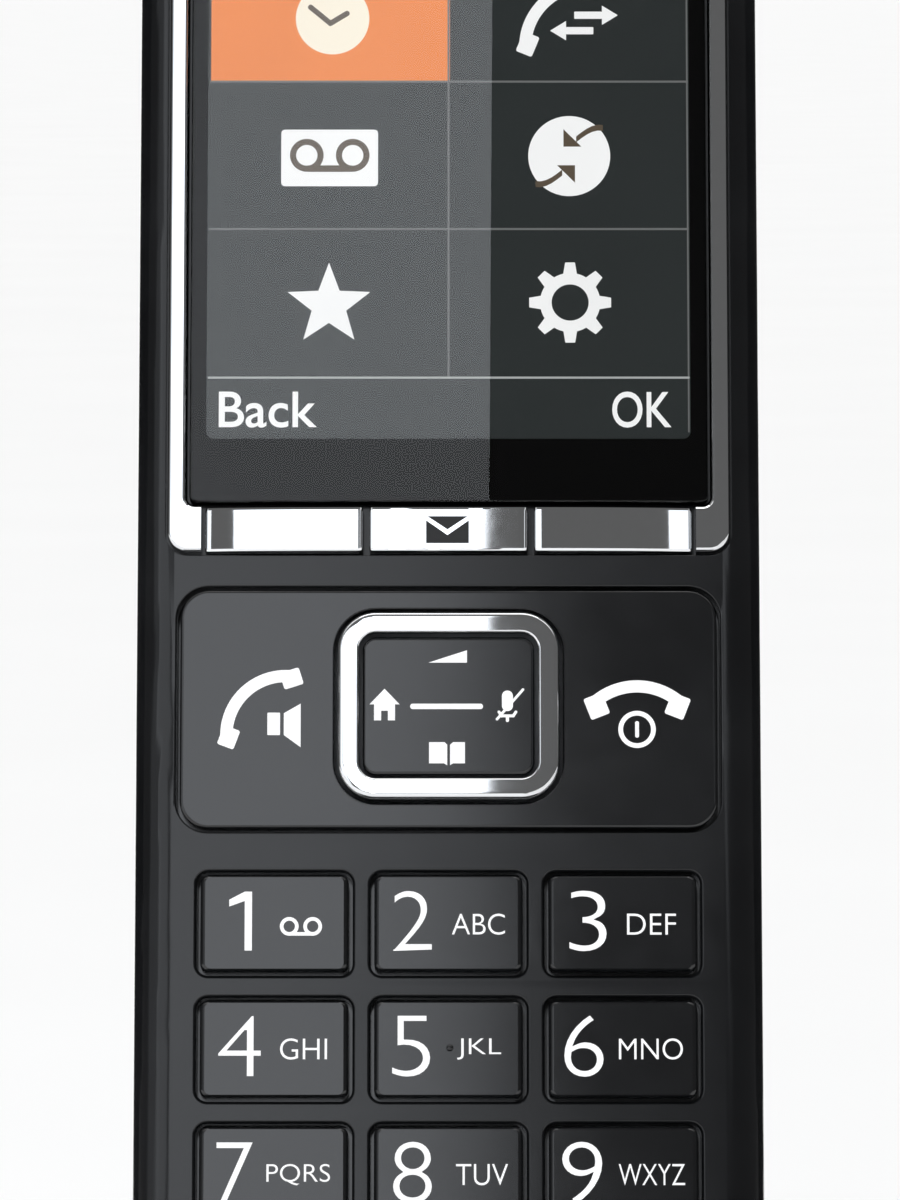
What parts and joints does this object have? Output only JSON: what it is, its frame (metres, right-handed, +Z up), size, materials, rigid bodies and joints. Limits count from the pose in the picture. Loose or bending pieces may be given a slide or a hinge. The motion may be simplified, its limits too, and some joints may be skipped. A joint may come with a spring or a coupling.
{
  "type": "cordless phone with base",
  "caption": "Black keypad handset with a colour display and chrome trim, standing in a small charging base.",
  "frame": {"origin": "centre of the base's footprint, on the surface that it stands on", "axes": "+Z up, +X to the user's right as they face the keypad, -Y towards the user"},
  "size_m": [0.088, 0.096, 0.1662],
  "materials": {
    "casing_black": "fine-textured black ABS, satin",
    "base_black": "fine-textured black ABS, satin",
    "key_black": "satin black keys with pale printed figures",
    "chrome": "polished chrome plating",
    "window": "clear window, gloss",
    "display": "colour display behind the window",
    "silicone": "moulded silicone",
    "circuit_board": "green solder mask",
    "socket_plastic": "moulded black plastic",
    "spring_metal": "plated spring strip",
    "pressed_steel": "pressed sheet steel",
    "screw_steel": "zinc-plated steel",
    "cell_wrap": "printed shrink wrap",
    "foot_rubber": "moulded rubber"
  },
  "bodies": {
    "base": {"base_housing": "base_black", "base_plate": "base_black", "base_board": "circuit_board", "page_switch": "socket_plastic", "line_socket": "socket_plastic", "power_socket": "socket_plastic", "foot_front_left": "foot_rubber", "foot_front_right": "foot_rubber", "foot_rear_left": "foot_rubber", "foot_rear_right": "foot_rubber", "base_screw_left": "screw_steel", "base_screw_right": "screw_steel"},
    "page_key": {"page_key": "key_black"},
    "charge_contact_left": {"charge_contact_left": "spring_metal"},
    "charge_contact_right": {"charge_contact_right": "spring_metal"},
    "handset": {"front_shell": "casing_black", "back_shell": "casing_black", "display_bezel": "chrome", "display_window": "window", "display_panel": "display", "key_mat": "silicone", "main_board": "circuit_board", "shield_can": "pressed_steel", "antenna": "spring_metal", "earpiece_capsule": "pressed_steel", "earpiece_grille": "pressed_steel", "microphone": "pressed_steel", "loudspeaker": "pressed_steel", "case_screw_left": "screw_steel", "case_screw_right": "screw_steel", "charge_pad_left": "spring_metal", "charge_pad_right": "spring_metal", "cell_contact_left": "spring_metal", "cell_contact_right": "spring_metal", "cell_contact_bridge": "spring_metal", "battery_left": "cell_wrap", "battery_right": "cell_wrap"},
    "battery_cover": {"battery_cover": "casing_black"},
    "call_end_rocker": {"call_end_rocker": "key_black"},
    "nav_carrier": {"nav_carrier": "silicone"},
    "nav_ring": {"nav_ring": "chrome"},
    "nav_pad": {"nav_pad": "key_black"},
    "key_1": {"key_1": "key_black"},
    "key_2": {"key_2": "key_black"},
    "key_3": {"key_3": "key_black"},
    "key_4": {"key_4": "key_black"},
    "key_5": {"key_5": "key_black"},
    "key_6": {"key_6": "key_black"},
    "key_7": {"key_7": "key_black"},
    "key_8": {"key_8": "key_black"},
    "key_9": {"key_9": "key_black"},
    "key_star": {"key_star": "key_black"},
    "key_0": {"key_0": "key_black"},
    "key_hash": {"key_hash": "key_black"},
    "softkey_left": {"softkey_left": "chrome"},
    "message_key": {"message_key": "chrome"},
    "softkey_right": {"softkey_right": "chrome"}
  },
  "joints": [
    {"name": "handset_lift", "type": "slide", "parent": "base", "child": "handset", "axis": [0, 0.2588, 0.9659], "range_m": [0, 0.05]},
    {"name": "battery_cover_hinge", "type": "hinge", "parent": "handset", "child": "battery_cover", "pos_m": [0, 0.03916, 0.11801], "axis": [1, 0, 0], "range_deg": [0, 28]},
    {"name": "call_end_rock", "type": "hinge", "parent": "handset", "child": "call_end_rocker", "pos_m": [0, 0.00601, 0.08201], "axis": [0, 0.2588, 0.9659], "range_deg": [-1.2, 1.2], "stiffness_Nm_per_rad": 1},
    {"name": "nav_left_right", "type": "hinge", "parent": "handset", "child": "nav_carrier", "pos_m": [0, 0.00635, 0.08212], "axis": [0, 0.2588, 0.9659], "range_deg": [-2.5, 2.5], "stiffness_Nm_per_rad": 0.25},
    {"name": "nav_up_down", "type": "hinge", "parent": "nav_carrier", "child": "nav_ring", "pos_m": [0, 0.00635, 0.08212], "axis": [1, 0, 0], "range_deg": [-2.5, 2.5], "stiffness_Nm_per_rad": 0.25},
    {"name": "nav_press", "type": "slide", "parent": "nav_ring", "child": "nav_pad", "axis": [0, 0.9659, -0.2588], "range_m": [0, 0.0004], "stiffness_N_per_m": 1500},
    {"name": "key_1_press", "type": "slide", "parent": "handset", "child": "key_1", "axis": [0, 0.9659, -0.2588], "range_m": [0, 0.0005], "stiffness_N_per_m": 1500},
    {"name": "key_2_press", "type": "slide", "parent": "handset", "child": "key_2", "axis": [0, 0.9659, -0.2588], "range_m": [0, 0.0005], "stiffness_N_per_m": 1500},
    {"name": "key_3_press", "type": "slide", "parent": "handset", "child": "key_3", "axis": [0, 0.9659, -0.2588], "range_m": [0, 0.0005], "stiffness_N_per_m": 1500},
    {"name": "key_4_press", "type": "slide", "parent": "handset", "child": "key_4", "axis": [0, 0.9659, -0.2588], "range_m": [0, 0.0005], "stiffness_N_per_m": 1500},
    {"name": "key_5_press", "type": "slide", "parent": "handset", "child": "key_5", "axis": [0, 0.9659, -0.2588], "range_m": [0, 0.0005], "stiffness_N_per_m": 1500},
    {"name": "key_6_press", "type": "slide", "parent": "handset", "child": "key_6", "axis": [0, 0.9659, -0.2588], "range_m": [0, 0.0005], "stiffness_N_per_m": 1500},
    {"name": "key_7_press", "type": "slide", "parent": "handset", "child": "key_7", "axis": [0, 0.9659, -0.2588], "range_m": [0, 0.0005], "stiffness_N_per_m": 1500},
    {"name": "key_8_press", "type": "slide", "parent": "handset", "child": "key_8", "axis": [0, 0.9659, -0.2588], "range_m": [0, 0.0005], "stiffness_N_per_m": 1500},
    {"name": "key_9_press", "type": "slide", "parent": "handset", "child": "key_9", "axis": [0, 0.9659, -0.2588], "range_m": [0, 0.0005], "stiffness_N_per_m": 1500},
    {"name": "key_star_press", "type": "slide", "parent": "handset", "child": "key_star", "axis": [0, 0.9659, -0.2588], "range_m": [0, 0.0005], "stiffness_N_per_m": 1500},
    {"name": "key_0_press", "type": "slide", "parent": "handset", "child": "key_0", "axis": [0, 0.9659, -0.2588], "range_m": [0, 0.0005], "stiffness_N_per_m": 1500},
    {"name": "key_hash_press", "type": "slide", "parent": "handset", "child": "key_hash", "axis": [0, 0.9659, -0.2588], "range_m": [0, 0.0005], "stiffness_N_per_m": 1500},
    {"name": "softkey_left_press", "type": "slide", "parent": "handset", "child": "softkey_left", "axis": [0, 0.9659, -0.2588], "range_m": [0, 0.0004], "stiffness_N_per_m": 1500},
    {"name": "message_key_press", "type": "slide", "parent": "handset", "child": "message_key", "axis": [0, 0.9659, -0.2588], "range_m": [0, 0.0004], "stiffness_N_per_m": 1500},
    {"name": "softkey_right_press", "type": "slide", "parent": "handset", "child": "softkey_right", "axis": [0, 0.9659, -0.2588], "range_m": [0, 0.0004], "stiffness_N_per_m": 1500},
    {"name": "page_key_press", "type": "slide", "parent": "base", "child": "page_key", "axis": [0, 0.3764, -0.9265], "range_m": [0, 0.0008], "stiffness_N_per_m": 1200},
    {"name": "charge_contact_left_spring", "type": "slide", "parent": "base", "child": "charge_contact_left", "axis": [0, 0.2588, 0.9659], "range_m": [-0.0008, 0], "stiffness_N_per_m": 600},
    {"name": "charge_contact_right_spring", "type": "slide", "parent": "base", "child": "charge_contact_right", "axis": [0, 0.2588, 0.9659], "range_m": [-0.0008, 0], "stiffness_N_per_m": 600}
  ]
}
